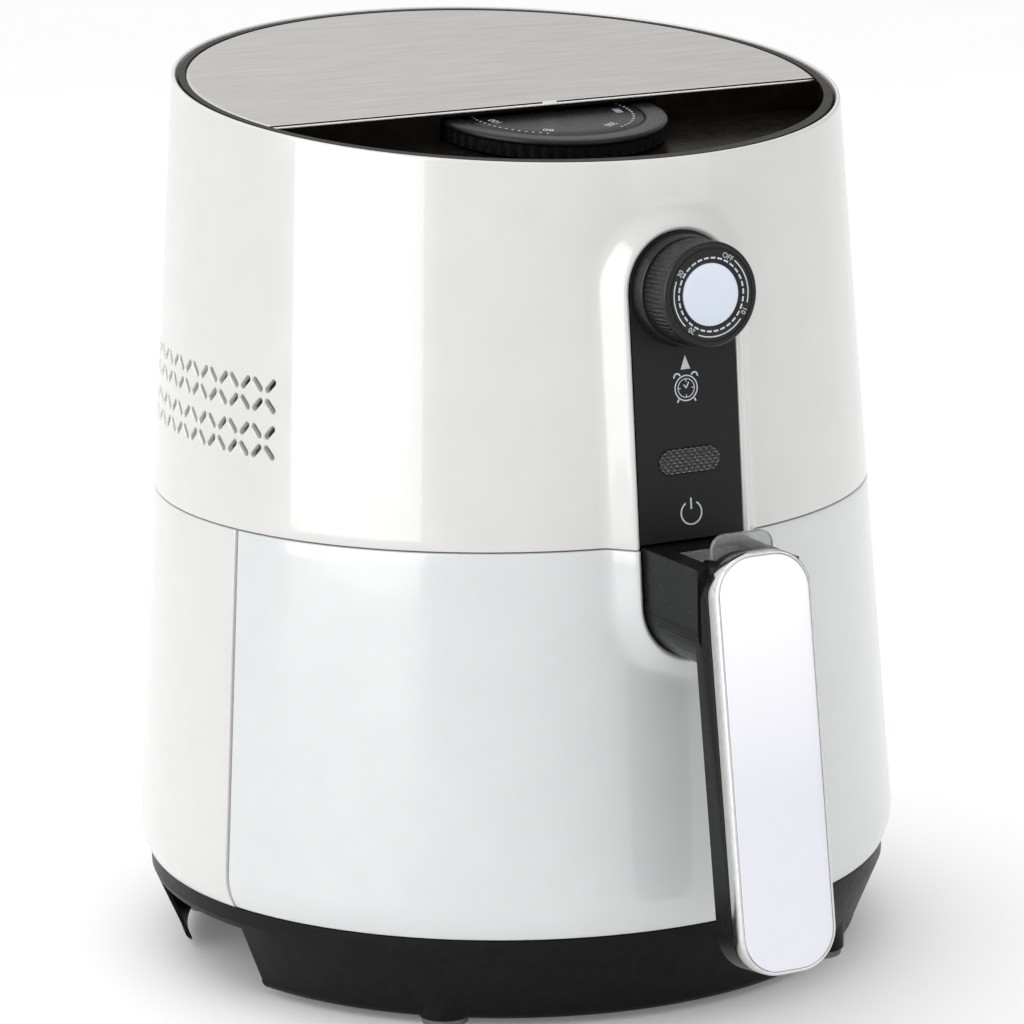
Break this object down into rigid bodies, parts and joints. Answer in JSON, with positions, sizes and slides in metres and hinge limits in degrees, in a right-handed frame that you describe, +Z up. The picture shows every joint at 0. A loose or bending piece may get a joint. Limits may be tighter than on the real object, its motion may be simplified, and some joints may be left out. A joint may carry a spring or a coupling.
{
  "type": "hot-air fryer",
  "caption": "Drum-shaped hot-air fryer with a pull-out basket drawer and handle, a timer knob, a temperature dial and side air vents.",
  "frame": {"origin": "on the standing plane, under the drum's axis", "axes": "+Z up the drum's axis, -Y out of the front, where the drawer comes out, +X to the right seen from the front"},
  "size_m": [0.271, 0.3316, 0.32],
  "materials": {
    "black_plastic": "fine matte grain",
    "foot_rubber": "soft matt grey",
    "white_shell": "high gloss",
    "white_front": "high gloss",
    "sheet_steel": "satin zinc",
    "wire_steel": "bright",
    "heater_sheath": "heat-darkened",
    "motor_steel": "satin",
    "black_deck": "gloss black",
    "brushed_plate": "brushed",
    "ceramic": "matt",
    "black_panel": "fine grain",
    "timer_plastic": "matt",
    "clear_lens": "faceted clear",
    "lamp_amber": "clear amber",
    "black_rubber": "matt",
    "screw_steel": "zinc plated",
    "pan_coating": "non-stick speckle",
    "grey_liner": "satin light grey",
    "basket_coating": "non-stick speckle",
    "bracket_steel": "brushed",
    "handle_black": "fine grain",
    "silver_bezel": "satin silver",
    "silver_pad": "fine metallic",
    "spring_steel": "drawn wire",
    "button_beige": "satin",
    "clear_cover": "clear",
    "knob_black": "fine grain",
    "knob_disc": "satin",
    "dial_black": "satin black",
    "dial_print": "printed",
    "fan_aluminium": "mill",
    "fan_plastic": "matt"
  },
  "bodies": {
    "housing": {"base_tray": "black_plastic", "feet": "foot_rubber", "lower_shell": "white_shell", "upper_shell": "white_shell", "cavity_liner": "sheet_steel", "chassis_plate": "sheet_steel", "chamber_liner": "sheet_steel", "element_guard": "wire_steel", "heater_coil": "heater_sheath", "heat_shield": "sheet_steel", "motor_bracket": "sheet_steel", "motor": "motor_steel", "top_deck": "black_deck", "top_plate": "brushed_plate", "thermostat": "ceramic", "control_panel": "black_panel", "timer_body": "timer_plastic", "indicator_lens": "clear_lens", "indicator_lamp": "lamp_amber", "exhaust_grille": "black_plastic", "cord_gland": "black_rubber", "terminal_block": "timer_plastic", "drawer_switch": "black_plastic", "drawer_guides": "wire_steel", "housing_screws": "screw_steel"},
    "drawer": {"pan": "pan_coating", "drawer_front": "white_front", "drawer_liner": "grey_liner", "pan_screws": "screw_steel", "basket": "basket_coating", "basket_bracket": "bracket_steel", "handle_body": "handle_black", "handle_bezel": "silver_bezel", "handle_pad": "silver_pad", "handle_screws": "screw_steel", "latch_pin": "screw_steel", "button_spring": "spring_steel"},
    "release_button": {"release_button": "button_beige"},
    "release_latch": {"release_latch": "bracket_steel"},
    "button_cover": {"button_cover": "clear_cover"},
    "timer_knob": {"timer_knob": "knob_black", "knob_cap": "knob_disc", "timer_shaft": "screw_steel"},
    "temperature_dial": {"temperature_dial": "dial_black", "dial_face": "dial_print", "dial_shaft": "screw_steel"},
    "fan": {"impeller": "fan_aluminium", "cooling_fan": "fan_plastic", "motor_shaft": "screw_steel"}
  },
  "joints": [
    {"name": "drawer_slide", "type": "slide", "parent": "housing", "child": "drawer", "axis": [0, -1, 0], "range_m": [0, 0.25]},
    {"name": "button_press", "type": "slide", "parent": "drawer", "child": "release_button", "axis": [0, 0, -1], "range_m": [0, 0.003], "stiffness_N_per_m": 400, "deforming": ["button_spring"]},
    {"name": "latch_swing", "type": "hinge", "parent": "drawer", "child": "release_latch", "pos_m": [0, -0.13731, 0.1488], "axis": [1, 0, 0], "range_deg": [0, 10.6]},
    {"name": "cover_slide", "type": "slide", "parent": "drawer", "child": "button_cover", "axis": [0, 1, 0], "range_m": [0, 0.015]},
    {"name": "timer_turn", "type": "hinge", "parent": "housing", "child": "timer_knob", "pos_m": [0, -0.12527, 0.252], "axis": [0, -0.9974, 0.0715], "range_deg": [-150, 125]},
    {"name": "dial_turn", "type": "hinge", "parent": "housing", "child": "temperature_dial", "pos_m": [0, -0.0348, 0.30386], "axis": [0, -0.1068, 0.9943], "range_deg": [-120, 120]},
    {"name": "fan_spin", "type": "hinge", "parent": "housing", "child": "fan", "pos_m": [0, 0, 0.2], "axis": [0, 0, 1], "continuous": true}
  ],
  "couplings": [
    {"joint": "latch_swing", "follows": "button_press", "rad_per_m": 61.087}
  ]
}
